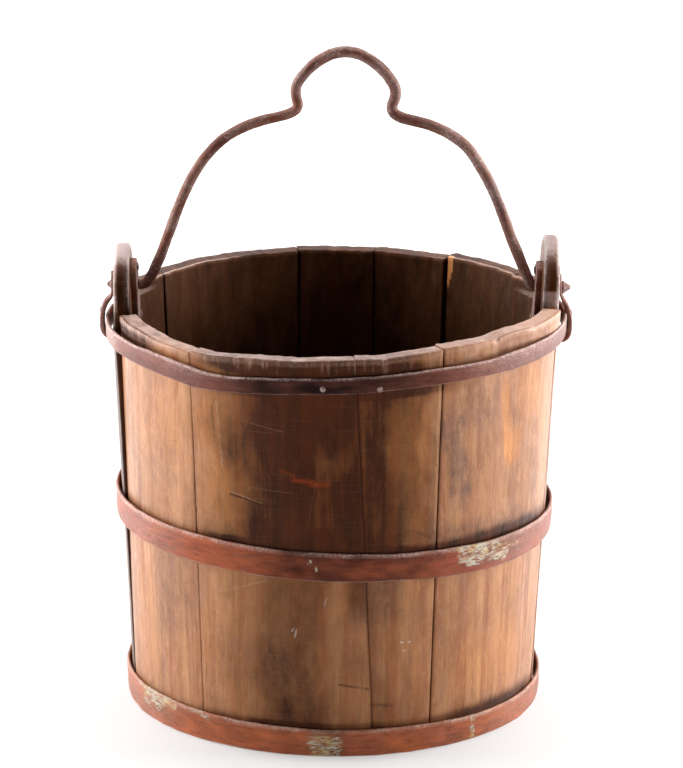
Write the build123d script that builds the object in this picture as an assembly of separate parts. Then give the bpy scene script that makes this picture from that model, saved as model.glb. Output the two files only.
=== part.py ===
"""A staved wooden bucket with three iron hoops and a swinging iron bail, as one solid for each real piece.

Millimetres. The origin is the centre of the base on the floor, +Z is up, and the bail's ears stand on the X axis.
Angles round the bucket are in degrees from the front, which faces -Y, towards +X.
"""

from build123d import *
import os
from math import acos, asin, atan, atan2, cos, degrees, hypot, radians, sin, sqrt

# Body: a cone of staves, wider at the rim than at the base.
BODY_HEIGHT = 306.0
RIM_RADIUS = 165.0
BASE_RADIUS = 155.0
RIM_WALL = 14.0
BASE_WALL = 17.0
CLEARANCE = 0.05

# Ear staves: flat boards that lean out more than the wall, so their corners stand proud of it near the rim.
EAR_RIM_HALF_WIDTH, EAR_BASE_HALF_WIDTH = 43.8, 39.5
EAR_RIM_FACE, EAR_BASE_FACE = 165.0, 149.6
EAR_WALL = 12.4
EAR_SHOULDER = 313.0
EAR_TAB_RADIUS = 40.0
EAR_TOP = EAR_SHOULDER + EAR_TAB_RADIUS
EAR_ROUNDING = 4.0

# Joints between the plain staves: the angle of each and its gap.
FRONT_JOINTS = [(-40.3, 0.3), (6.2, 0.3), (28.4, 0.9)]
BACK_JOINTS = [(117.3, 0.3), (145.7, 1.6), (168.6, 0.5), (191.4, 0.7), (241.0, 0.3)]
EAR_JOINT_GAP = 0.4
# How far each stave ends above the body's height, and how much thicker it is than its neighbours.
STAVE_RISE = [-1.5, -0.5, 0.6, 1.6, 1.2, 1.6, 0.0, 0.4, -0.6, -1.2]
STAVE_EXTRA_WALL = [0.0, -0.6, 0.5, 0.8, 0.0, -0.8, 1.0, 0.0, 0.4, -0.3]

# Head: the bottom, three boards held in a groove of the staves.
GROOVE_LOW, GROOVE_HIGH, GROOVE_DEPTH = 20.0, 26.0, 4.0
HEAD_LOW, HEAD_HIGH = 16.0, 30.0
HEAD_SEAM = 46.0
HEAD_BEVEL = 10.0
DOWEL_RADIUS, DOWEL_LENGTH, DOWEL_OFFSET = 4.0, 40.0, 60.0

# Hoops: name, lowest and highest edge, and the angle at which the band's ends start to lap.
HOOPS = [("bottom_hoop", 0.5, 21.5, 164.0), ("middle_hoop", 137.4, 159.0, 198.0), ("top_hoop", 281.5, 295.0, 150.0)]
BAND = 2.2
LAP_ANGLE = 17.0
RIVET_INSET = 4.0
RIVET_RADIUS = 2.0
HOOP_NAIL_ANGLES, HOOP_NAIL_HEIGHT = (-2.2, 11.8), 287.5

# Pivot of the bail, and the irons of each ear.
PIVOT_HEIGHT = 316.5
BAR_RADIUS = 3.75
PIVOT_PLAY = 0.1
PLATE = 4.5
PLATE_LOW, PLATE_HIGH, PLATE_WIDTH, PLATE_CROWN = 284.0, 337.0, 26.0, 9.0
STRAP = 3.0
STRAP_TOP, STRAP_FOOT = 325.5, 275.0
STRAP_BOW = 174.8
EYE_RADIUS = 8.5

# Bail: half of its outline, as distance from the middle, height above the pivot, and bend radius.
BAIL_OUTLINE = [
    (142.0, 0.0, 7.0),
    (98.6, 118.5, 92.0),
    (33.6, 132.3, 7.0),
    (39.2, 152.0, 9.0),
    (14.5, 178.5, 29.0),
]
BAIL_LEAN = 7.0
HEAD_GAP = 0.3
PEENED_LENGTH = 5.4


def along(base, rim, z):
    """A measure that runs straight from its value at the base to its value at the rim."""
    return base + (rim - base) * z / BODY_HEIGHT


def outer_radius(z):
    """The outside of the staves at height z."""
    return along(BASE_RADIUS, RIM_RADIUS, z)


def inner_radius(z):
    """The inside of the staves at height z."""
    return along(BASE_RADIUS - BASE_WALL, RIM_RADIUS - RIM_WALL, z)


def ear_face(z):
    """How far the flat outside of an ear stave is from the axis at height z."""
    return along(EAR_BASE_FACE, EAR_RIM_FACE, z)


def ear_back(z):
    """How far the inside of an ear stave is from the axis at height z."""
    return ear_face(z) - EAR_WALL


def ear_half_width(z):
    """Half the width of an ear stave at height z."""
    return along(EAR_BASE_HALF_WIDTH, EAR_RIM_HALF_WIDTH, z)


EAR_SLOPE = degrees(atan((EAR_RIM_FACE - EAR_BASE_FACE) / BODY_HEIGHT))
STRAP_LIE = ear_face(STRAP_TOP) + 0.2 + STRAP / 2


def around(radius, angle, z):
    """The point at a radius and an angle from the front."""
    return (radius * sin(radians(angle)), -radius * cos(radians(angle)), z)


def sector(inside, outside, start, end, z):
    """A flat piece of ring at height z."""
    middle = (start + end) / 2
    return make_face(
        [
            ThreePointArc(around(outside, start, z), around(outside, middle, z), around(outside, end, z)),
            Line(around(outside, end, z), around(inside, end, z)),
            ThreePointArc(around(inside, end, z), around(inside, middle, z), around(inside, start, z)),
            Line(around(inside, start, z), around(outside, start, z)),
        ]
    )


def ear_block(spread):
    """Everything between the two side planes of both ear staves, spread apart at each side."""
    low, high = -1.0, EAR_TOP + 20
    half = [ear_half_width(z) + spread for z in (low, high)]
    outline = Polyline((-half[0], low), (half[0], low), (half[1], high), (-half[1], high), close=True)
    return extrude(make_face(Plane.YZ * outline), RIM_RADIUS * 1.5, both=True)


def groove():
    """The ring that the head's edge sits in."""
    outside = inner_radius(GROOVE_LOW) + GROOVE_DEPTH
    height = GROOVE_HIGH - GROOVE_LOW
    ring = Cylinder(outside, height) - Cylinder(outside - 4 * GROOVE_DEPTH, height)
    return Pos(0, 0, (GROOVE_LOW + GROOVE_HIGH) / 2) * ring


def stave(start, end, rise, extra_wall):
    """One board of the wall between two joints, each (angle, gap)."""
    top = BODY_HEIGHT + rise
    sections = []
    for z in (0.0, top):
        outside = outer_radius(z)
        first, last = [angle + way * degrees(gap / 2 / outside) for way, (angle, gap) in ((1, start), (-1, end))]
        sections.append(sector(inner_radius(z) - extra_wall, outside, first, last, z))
    return loft(sections, ruled=True) - groove()


def staves():
    """The ten plain staves, in order from the left ear round the front, then behind from the right ear."""
    ear = 90 - degrees(asin(EAR_RIM_HALF_WIDTH / RIM_RADIUS)) + 3
    front = [(-ear, 0.0), *FRONT_JOINTS, (ear, 0.0)]
    back = [(180 - ear, 0.0), *BACK_JOINTS, (180 + ear, 0.0)]
    pairs = [*zip(front, front[1:]), *zip(back, back[1:])]
    block = ear_block(EAR_JOINT_GAP)
    return [
        stave(start, end, rise, extra) - block
        for (start, end), rise, extra in zip(pairs, STAVE_RISE, STAVE_EXTRA_WALL)
    ]


def slab(inside, outside, low, high):
    """A wall across the X axis. inside and outside give its faces' X at a height."""
    outline = Polyline(
        (inside(low), low), (outside(low), low), (outside(high), high), (inside(high), high), close=True
    )
    return extrude(make_face(Plane.XZ * outline), RIM_RADIUS, both=True)


def side_profile(edges):
    """A closed outline of (Y, Z) edges, pushed from the middle out through the right side."""
    return extrude(make_face([Plane.YZ * edge for edge in edges]), RIM_RADIUS * 1.5, dir=(1, 0, 0))


def pivot_hole(play):
    """The hole along the X axis for the bail's end, on the right."""
    return Pos(RIM_RADIUS, 0, PIVOT_HEIGHT) * Rot(0, 90, 0) * Cylinder(BAR_RADIUS + play, 60)


def ear_outline():
    """The shape of an ear stave seen along the X axis, pushed through the right side."""
    corner = (EAR_RIM_HALF_WIDTH, BODY_HEIGHT)
    drop = EAR_SHOULDER - BODY_HEIGHT
    swing = acos(EAR_TAB_RADIUS / hypot(EAR_RIM_HALF_WIDTH, drop)) - atan2(drop, EAR_RIM_HALF_WIDTH)
    touch = (EAR_TAB_RADIUS * cos(swing), EAR_SHOULDER + EAR_TAB_RADIUS * sin(swing))
    edges = [
        Polyline(
            (-touch[0], touch[1]),
            (-corner[0], corner[1]),
            (-EAR_BASE_HALF_WIDTH, 0),
            (EAR_BASE_HALF_WIDTH, 0),
            corner,
            touch,
        ),
        ThreePointArc(touch, (0, EAR_TOP), (-touch[0], touch[1])),
    ]
    return side_profile(edges)


def ear_stave():
    """The right ear stave: a flat board with a round-topped tab, hollowed inside, pierced for the bail."""
    board = ear_outline() & slab(ear_back, ear_face, -1, EAR_TOP + 5)
    wide = slab(lambda z: ear_back(z) - 12, ear_face, -1, BODY_HEIGHT)
    board += ear_outline() & wide
    board -= Pos(0, 0, BODY_HEIGHT / 2) * Cone(ear_back(0), ear_back(BODY_HEIGHT), BODY_HEIGHT)
    top = [e for e in board.edges() if e.center().Z > EAR_SHOULDER + 5 and e.geom_type != GeomType.LINE]
    board = fillet(top, EAR_ROUNDING)
    return board - groove() - pivot_hole(PIVOT_PLAY)


def head_boards():
    """The bottom, cut into a front, a middle and a rear board."""
    edge = inner_radius(GROOVE_LOW) + GROOVE_DEPTH - 0.3
    shoulder = inner_radius(HEAD_LOW) - 0.8
    profile = Polyline(
        (0, HEAD_LOW),
        (shoulder - HEAD_BEVEL, HEAD_LOW),
        (shoulder, GROOVE_LOW + CLEARANCE),
        (edge, GROOVE_LOW + CLEARANCE),
        (edge, GROOVE_HIGH - CLEARANCE),
        (shoulder, GROOVE_HIGH - CLEARANCE),
        (shoulder, HEAD_HIGH),
        (0, HEAD_HIGH),
        close=True,
    )
    disc = revolve(make_face(Plane.XZ * profile), Axis.Z)
    for hole in dowels(CLEARANCE):
        disc -= hole
    seam = HEAD_SEAM - CLEARANCE * 2
    side = RIM_RADIUS * 2
    middle = disc & Box(side, 2 * seam, side)
    outer = [disc & Pos(0, way * (HEAD_SEAM + side / 2), 0) * Box(side, side, side) for way in (-1, 1)]
    return {"bottom_board_front": outer[0], "bottom_board_middle": middle, "bottom_board_rear": outer[1]}


def dowels(play):
    """The pins that join the bottom boards, two across each seam."""
    middle = (GROOVE_LOW + GROOVE_HIGH) / 2
    length = DOWEL_LENGTH + 2 * play
    return [
        Pos(x, y, middle) * Rot(90, 0, 0) * Cylinder(DOWEL_RADIUS + play, length)
        for x in (-DOWEL_OFFSET, DOWEL_OFFSET)
        for y in (-HEAD_SEAM, HEAD_SEAM)
    ]


def hoop_reach(z):
    """Half the length and half the width of the oval that clears the ear staves' corners and the wall."""
    across = outer_radius(z) + CLEARANCE
    lengthwise = ear_face(z) / sqrt(1 - (ear_half_width(z) / across) ** 2) + CLEARANCE
    return max(lengthwise, across), across


def oval(low, high, offset):
    """A solid oval cone that stands off the hoops' inner line by an offset."""
    sections = []
    for z in (low, high):
        lengthwise, across = hoop_reach(z)
        sections.append(Pos(0, 0, z) * Ellipse(lengthwise + offset, across + offset))
    return loft(sections, ruled=True)


def wedge(start, end, height):
    """A slice of space between two angles."""
    reach = RIM_RADIUS * 1.5
    corners = [(0, 0), around(reach, start, 0)[:2], around(reach, end, 0)[:2]]
    return extrude(make_face(Polyline(*corners, close=True)), height)


def hoop(low, high, lap_at):
    """An iron band with its ends lapped, and holes for the two rivets of the lap."""
    core = oval(low - 1, high + 1, 0)
    lap = oval(low, high, 2 * BAND) & wedge(lap_at, lap_at + LAP_ANGLE, BODY_HEIGHT)
    band = (oval(low, high, BAND) + lap) - core
    for place in rivet_places(low, high, lap_at):
        band -= place * Pos(0, 0, -BAND) * Cylinder(RIVET_RADIUS + CLEARANCE, 6 * BAND)
    return band


def on_hoop(angle, z, layers):
    """A place on a hoop's outside, over a number of layers of band, with local Z pointing out."""
    turn = radians(angle)

    def reach(height):
        lengthwise, across = [half + layers * BAND for half in hoop_reach(height)]
        return lengthwise * across / hypot(across * sin(turn), lengthwise * cos(turn))

    x, y, _ = around(reach(z), angle, z)
    lengthwise, across = [half + layers * BAND for half in hoop_reach(z)]
    heading = degrees(atan2(y / across**2, x / lengthwise**2))
    lean = degrees(atan((reach(z + 1) - reach(z - 1)) / 2))
    return Pos(x, y, z) * Rot(0, 0, heading) * Rot(0, 90 + lean, 0) * Pos(0, 0, CLEARANCE / 2)


def rivet_places(low, high, lap_at):
    """Where the two rivets of a hoop's lap sit, on top of both layers."""
    angles = (lap_at + RIVET_INSET, lap_at + LAP_ANGLE - RIVET_INSET)
    return [on_hoop(angle, (low + high) / 2, 2) for angle in angles]


def fastener(shank_radius, shank_length, head_radius, head_height):
    """A nail or rivet with a domed head, its shank running down from the origin."""
    ball = (head_radius**2 + head_height**2) / (2 * head_height)
    dome = Pos(0, 0, head_height - ball) * Sphere(ball)
    dome &= Pos(0, 0, head_height / 2) * Cylinder(head_radius + 1, head_height)
    shank = Pos(0, 0, -shank_length / 2) * Cylinder(shank_radius, shank_length)
    return dome + shank


def plate_outline(play):
    """The shape of an inner plate seen along the X axis, pushed through the right side."""
    half, shoulder = PLATE_WIDTH / 2 + play, PLATE_HIGH - PLATE_CROWN
    low = PLATE_LOW - play
    edges = [
        Polyline((-half, shoulder), (-half, low), (half, low), (half, shoulder)),
        ThreePointArc((half, shoulder), (0, PLATE_HIGH + play), (-half, shoulder)),
    ]
    return side_profile(edges)


def ear_plate():
    """The forged plate on the inner face of the right ear."""
    def back(z):
        return ear_back(z) - CLEARANCE

    plate = plate_outline(0) & slab(lambda z: back(z) - PLATE, back, PLATE_LOW - 1, PLATE_HIGH + 1)
    rim = [e for e in plate.edges() if e.center().X < back(e.center().Z) - PLATE + 0.5]
    return fillet(rim, 1.2) - pivot_hole(PIVOT_PLAY)


def plate_recess():
    """The shallow seat for the plate, where the ear stave is hollowed."""
    return plate_outline(CLEARANCE) & slab(lambda z: ear_back(z) - PLATE, ear_back, PLATE_LOW - 1, PLATE_HIGH + 1)


def plate_nail_places():
    """Where the three nails of the right ear plate sit, heads towards the middle of the bucket."""
    return [
        Pos(ear_back(z) - CLEARANCE - PLATE, y, z) * Rot(0, EAR_SLOPE - 90, 0)
        for y, z in ((0.0, 330.0), (-8.0, 291.0), (8.0, 291.0))
    ]


def ear_strap():
    """The strap outside the right ear: an eye round the bail's end, and a tail bowed over the top hoop."""
    path = FilletPolyline(
        (STRAP_LIE, 0, STRAP_TOP),
        (STRAP_LIE, 0, 309),
        (STRAP_BOW, 0, 299),
        (STRAP_BOW, 0, 281),
        (STRAP_BOW - 4, 0, STRAP_FOOT),
        radius=6,
    )
    start = Plane(origin=path @ 0, x_dir=(0, 1, 0), z_dir=path % 0)
    ribbon = sweep(start * Rectangle(4 * EYE_RADIUS, STRAP), path=path)
    neck, waist, tip = 5.5, 7.0, 5.0
    eye = (EYE_RADIUS * 0.8, PIVOT_HEIGHT - EYE_RADIUS * 0.6)
    side = [eye, (neck, 304), (waist, 288), (tip, STRAP_FOOT + 3)]
    mirrored = [(-y, z) for y, z in reversed(side)]
    edges = [
        Polyline(*side),
        ThreePointArc(side[-1], (0, STRAP_FOOT - 1), mirrored[0]),
        Polyline(*mirrored),
        ThreePointArc(mirrored[-1], (0, PIVOT_HEIGHT + EYE_RADIUS), eye),
    ]
    return (ribbon & side_profile(edges)) - pivot_hole(PIVOT_PLAY)


def strap_nail_place():
    """Where the nail through the right strap sits, in its bow above the top hoop."""
    return Pos(STRAP_BOW + STRAP / 2, 0, 297.6) * Rot(0, 90, 0)


def bail():
    """The handle: one round bar bent to its outline, with a peened head outside each ear."""
    journal_end = STRAP_LIE + STRAP / 2 + HEAD_GAP
    half = [(journal_end, 0.0, None), *BAIL_OUTLINE]
    crown = BAIL_OUTLINE[-1][1]
    right = [(x + BAIL_LEAN * rise / crown, rise, radius) for x, rise, radius in half]
    left = [(-x + BAIL_LEAN * rise / crown, rise, radius) for x, rise, radius in reversed(half)]
    outline = right + left
    path = FilletPolyline(
        *[(x, 0, PIVOT_HEIGHT + rise) for x, rise, _ in outline],
        radius=[radius for _, _, radius in outline[1:-1]],
    )
    start = Plane(origin=path @ 0, z_dir=path % 0)
    bar = sweep(start * Circle(BAR_RADIUS), path=path)
    head = Cone(5.2, 1.6, PEENED_LENGTH)
    for way in (-1, 1):
        bar += Pos(way * (journal_end + PEENED_LENGTH / 2), 0, PIVOT_HEIGHT) * Rot(0, way * 90, 0) * head
    return bar


def group(shapes):
    """Several separate solids as one node."""
    return Compound(children=[solid for shape in shapes for solid in shape.solids()])


def nailed(made, names, places, nail, bore_radius, bore_length):
    """Bore the named pieces at each place, and give back the nails as one group."""
    bore = Pos(0, 0, -bore_length / 2) * Cylinder(bore_radius, bore_length)
    for place in places:
        for name in names:
            made[name] -= place * bore
    return group([place * nail for place in places])


def pieces():
    """Every piece of the bucket, by node name."""
    made = {f"stave_{number:02d}": board for number, board in enumerate(staves(), 1)}
    made.update(head_boards())
    made["bottom_dowels"] = group(dowels(0))

    rivet = fastener(RIVET_RADIUS, 2 * BAND, 4.2, 1.8)
    for name, low, high, lap_at in HOOPS:
        made[name] = hoop(low, high, lap_at)
        made[f"{name}_rivets"] = group([place * rivet for place in rivet_places(low, high, lap_at)])

    places = [on_hoop(angle, HOOP_NAIL_HEIGHT, 1) for angle in HOOP_NAIL_ANGLES]
    nail = fastener(1.2, 12.0, 2.2, 1.0)
    made["top_hoop_nails"] = nailed(made, ["top_hoop", "stave_02", "stave_03"], places, nail, 1.25, 12.3)

    ear = {"ear_stave": ear_stave() - plate_recess(), "ear_plate": ear_plate(), "ear_strap": ear_strap()}
    plate_nail, strap_nail = fastener(1.5, 14.0, 3.4, 1.3), fastener(1.2, 18.0, 2.6, 1.0)
    ear["ear_plate_nails"] = nailed(ear, ["ear_stave", "ear_plate"], plate_nail_places(), plate_nail, 1.55, 14.3)
    ear["ear_strap_nail"] = nailed(ear, ["ear_stave", "ear_strap"], [strap_nail_place()], strap_nail, 1.25, 18.3)
    for name, shape in ear.items():
        made[f"{name}_right"] = shape
        made[f"{name}_left"] = mirror(shape, about=Plane.YZ)
    made["bail"] = bail()
    return made


os.makedirs("parts", exist_ok=True)
for node, shape in pieces().items():
    export_step(shape, f"parts/{node}.step")
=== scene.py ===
"""A staved wooden bucket with iron hoops and a swinging iron bail.

The scene is in metres, and shapes are worked out in millimetres. Angles round the wall are in degrees from
the front, and grow towards +X."""

import math
import bpy
import numpy as np
from mathutils import Matrix, Vector


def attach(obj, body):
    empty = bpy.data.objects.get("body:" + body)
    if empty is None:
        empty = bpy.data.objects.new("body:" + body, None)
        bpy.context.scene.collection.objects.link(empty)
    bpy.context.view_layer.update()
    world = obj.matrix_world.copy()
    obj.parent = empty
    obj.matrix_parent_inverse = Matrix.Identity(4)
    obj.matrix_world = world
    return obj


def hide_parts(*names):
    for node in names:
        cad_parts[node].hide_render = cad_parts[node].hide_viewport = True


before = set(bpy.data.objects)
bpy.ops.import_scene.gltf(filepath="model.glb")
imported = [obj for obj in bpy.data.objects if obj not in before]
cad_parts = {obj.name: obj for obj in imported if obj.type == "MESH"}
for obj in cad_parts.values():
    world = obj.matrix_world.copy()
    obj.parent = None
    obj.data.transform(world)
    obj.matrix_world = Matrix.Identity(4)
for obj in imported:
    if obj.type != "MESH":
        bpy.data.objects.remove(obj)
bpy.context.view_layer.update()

MM = 0.001

# The wall, as in the CAD: radii, wall thickness and heights in millimetres.
BODY_HEIGHT = 306.0
RIM_RADIUS, BASE_RADIUS = 165.0, 155.0
RIM_WALL, BASE_WALL = 14.0, 17.0
EAR_RIM_HALF, EAR_BASE_HALF = 43.8, 39.5
EAR_RIM_FACE, EAR_BASE_FACE = 165.0, 149.6
EAR_WALL = 12.4
EAR_RADIUS = 40.0
PIVOT = 316.5
BORE_RADIUS = 4.05

# Hoops: lower and upper edge in the middle, and how much each edge rises for each millimetre towards +X.
TOP_HOOP = 281.5, 295.0, (0.0145, 0.0145)
MIDDLE_HOOP = 137.4, 159.0, (-0.031, -0.031)
BOTTOM_HOOP = 0.5, 21.5, (0.0, -0.013)

# Joints between staves from the left ear round the front, then from the right ear round the back:
# angle at the base and at the rim, then the gap at the base and at the rim.
FRONT_JOINTS = [(-37.8, -39.8, 0.12, 0.25), (11.2, 5.0, 0.2, 0.25), (27.2, 28.2, 0.9, 1.2)]
BACK_JOINTS = [(117.3, 117.3, 0.3, 0.6), (145.7, 145.7, 0.4, 3.0), (168.6, 168.6, 0.4, 1.2),
               (191.4, 191.4, 0.4, 1.4), (241.0, 241.0, 0.3, 0.6)]

# The rim is worn unevenly: angle and how far its top lies above or below its usual height.
RIM_WEAR = np.array([
    (-180, 0), (-75, 0), (-60, -2.0), (-50, -3.8), (-40, -5.6), (-35, -5.6), (-26, -3.8), (-18, -2.6),
    (-8, -2.2), (2, -1.2), (7, -1.6), (12, -1.6), (18, -0.4), (28, 1.2), (45, 1.6), (55, 2.8), (65, 3.6),
    (75, 4.4), (90, 1), (180, 0)])
# The top hoop has slipped down at the front left: angle, then how far its upper and lower edges have moved.
HOOP_SLIP = np.array([
    (-180, 0, 0), (-60, 0.5, 0), (-53, 0.8, -1.0), (-45, -1.0, -2.6), (-38.5, -3.4, -4.6), (-35, -5.0, -4.6),
    (-26.5, -5.6, -3.8), (-18, -4.6, -2.7), (-8, -3.8, -1.6), (2, -3.0, -1.1), (12, -1.6, -0.4),
    (18, -0.8, 0.4), (28, -1.0, 1.0), (40, -0.8, 0.9), (50, 0.5, 0.8), (75, 0.4, 0.3), (180, 0, 0)])


# ---------------------------------------------------------------- numbers

def along(base, rim, z):
    """A measure that runs straight from its value at the base to its value at the rim."""
    return base + (rim - base) * z / BODY_HEIGHT


def outer_radius(z):
    return along(BASE_RADIUS, RIM_RADIUS, z)


def ear_face(z):
    return along(EAR_BASE_FACE, EAR_RIM_FACE, z)


def ear_back(z):
    return ear_face(z) - EAR_WALL


def hoop_reach(z):
    """Half the length and half the width of the oval that the hoops follow."""
    across = outer_radius(z)
    half = along(EAR_BASE_HALF, EAR_RIM_HALF, z)
    return np.maximum(ear_face(z) / np.sqrt(1 - (half / across) ** 2), across), across


def smooth(low, high, x):
    """0 below low, 1 above high, and a smooth step between."""
    t = np.clip((x - low) / (high - low), 0, 1)
    return t * t * (3 - 2 * t)


def bump(x, centre, half, soft):
    """1 within half of the centre, falling smoothly to 0 over soft beyond it."""
    return 1 - smooth(half, half + soft, np.abs(x - centre))


def noise(x, y, seed):
    """Smooth noise from -1 to 1 over a plane."""
    table = np.random.default_rng(seed).uniform(-1, 1, (64, 64))
    x, y = np.broadcast_arrays(np.asarray(x, float), np.asarray(y, float))
    xi, yi = np.floor(x).astype(int), np.floor(y).astype(int)
    fx, fy = x - xi, y - yi
    fx, fy = fx * fx * (3 - 2 * fx), fy * fy * (3 - 2 * fy)
    near = table[xi % 64, yi % 64] * (1 - fx) + table[(xi + 1) % 64, yi % 64] * fx
    far = table[xi % 64, (yi + 1) % 64] * (1 - fx) + table[(xi + 1) % 64, (yi + 1) % 64] * fx
    return near * (1 - fy) + far * fy


def rough(x, y, seed, octaves=3):
    """Layered noise, each layer twice as fine and half as strong."""
    return sum(noise(x * 2**n, y * 2**n, seed + n) / 2**n for n in range(octaves))


# ---------------------------------------------------------------- meshes

def lattice(across, through, upward):
    """Quads over the surface of a block of cells, and the (i, j, k) of each corner used."""
    size = (across, through, upward)
    stride = np.array([(through + 1) * (upward + 1), upward + 1, 1])
    quads = []
    for a in range(3):
        b, c = (a + 1) % 3, (a + 2) % 3
        bb, cc = np.meshgrid(np.arange(size[b]), np.arange(size[c]), indexing="ij")
        for side in (0, size[a]):
            corners = []
            for db, dc in ((0, 0), (1, 0), (1, 1), (0, 1)):
                cell = np.zeros(bb.shape + (3,), int)
                cell[..., a], cell[..., b], cell[..., c] = side, bb + db, cc + dc
                corners.append((cell @ stride).ravel())
            quad = np.stack(corners, 1)
            quads.append(quad if side else quad[:, ::-1])
    used, faces = np.unique(np.concatenate(quads), return_inverse=True)
    cells = np.stack([used // stride[0], used // stride[1] % (through + 1), used % (upward + 1)], 1)
    return faces.reshape(-1, 4), cells


def tube(rings):
    """Points and quads along a run of closed rings, and the two faces that fill its ends."""
    n, m = rings.shape[:2]
    i, j = np.meshgrid(np.arange(n - 1), np.arange(m), indexing="ij")
    here, beside = i * m + j, i * m + (j + 1) % m
    quads = np.stack([here, beside, beside + m, here + m], -1).reshape(-1, 4)
    return rings.reshape(-1, 3), quads, [np.arange(m)[::-1], np.arange(m) + (n - 1) * m]


def add(name, points, quads, material, values, ends=(), body="bucket"):
    """A mesh piece from points in millimetres, in place of the CAD node of its name.

    values are named numbers at its points, for its material."""
    tri = points[quads]
    volume = np.einsum("ij,ij->i", tri[:, 0], np.cross(tri[:, 1], tri[:, 2])).sum()
    volume += np.einsum("ij,ij->i", tri[:, 0], np.cross(tri[:, 2], tri[:, 3])).sum()
    faces = [np.asarray(face) for face in [*quads, *ends]]
    if volume < 0:
        faces = [face[::-1] for face in faces]
    mesh = bpy.data.meshes.new(name)
    mesh.vertices.add(len(points))
    mesh.vertices.foreach_set("co", (points * MM).astype(np.float32).ravel())
    sizes = np.array([len(face) for face in faces])
    mesh.loops.add(int(sizes.sum()))
    mesh.loops.foreach_set("vertex_index", np.concatenate(faces).astype(np.int32))
    mesh.polygons.add(len(faces))
    mesh.polygons.foreach_set("loop_start", (np.cumsum(sizes) - sizes).astype(np.int32))
    mesh.update(calc_edges=True)
    mesh.validate()
    mesh.polygons.foreach_set("use_smooth", np.ones(len(faces), bool))
    for key, value in values.items():
        value = np.asarray(value, np.float32)
        if value.ndim == 2:
            mesh.attributes.new(key, "FLOAT_VECTOR", "POINT").data.foreach_set("vector", value.ravel())
        else:
            mesh.attributes.new(key, "FLOAT", "POINT").data.foreach_set("value", value)
    obj = bpy.data.objects.new(name, mesh)
    bpy.context.scene.collection.objects.link(obj)
    mesh.materials.append(material)
    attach(obj, body)
    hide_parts(name)
    return obj


def bore(obj, way):
    """Cuts the hole for the bail's end through a piece."""
    bpy.ops.mesh.primitive_cylinder_add(vertices=28, radius=BORE_RADIUS * MM, depth=0.06,
                                        location=(way * 0.160, 0, PIVOT * MM), rotation=(0, math.pi / 2, 0))
    drill = bpy.context.object
    cut = obj.modifiers.new("bore", "BOOLEAN")
    cut.operation, cut.solver, cut.object = "DIFFERENCE", "EXACT", drill
    bpy.context.view_layer.update()
    shaped = bpy.data.meshes.new_from_object(obj.evaluated_get(bpy.context.evaluated_depsgraph_get()))
    obj.modifiers.remove(cut)
    obj.data = shaped
    bpy.data.objects.remove(drill)


# ---------------------------------------------------------------- materials

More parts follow.
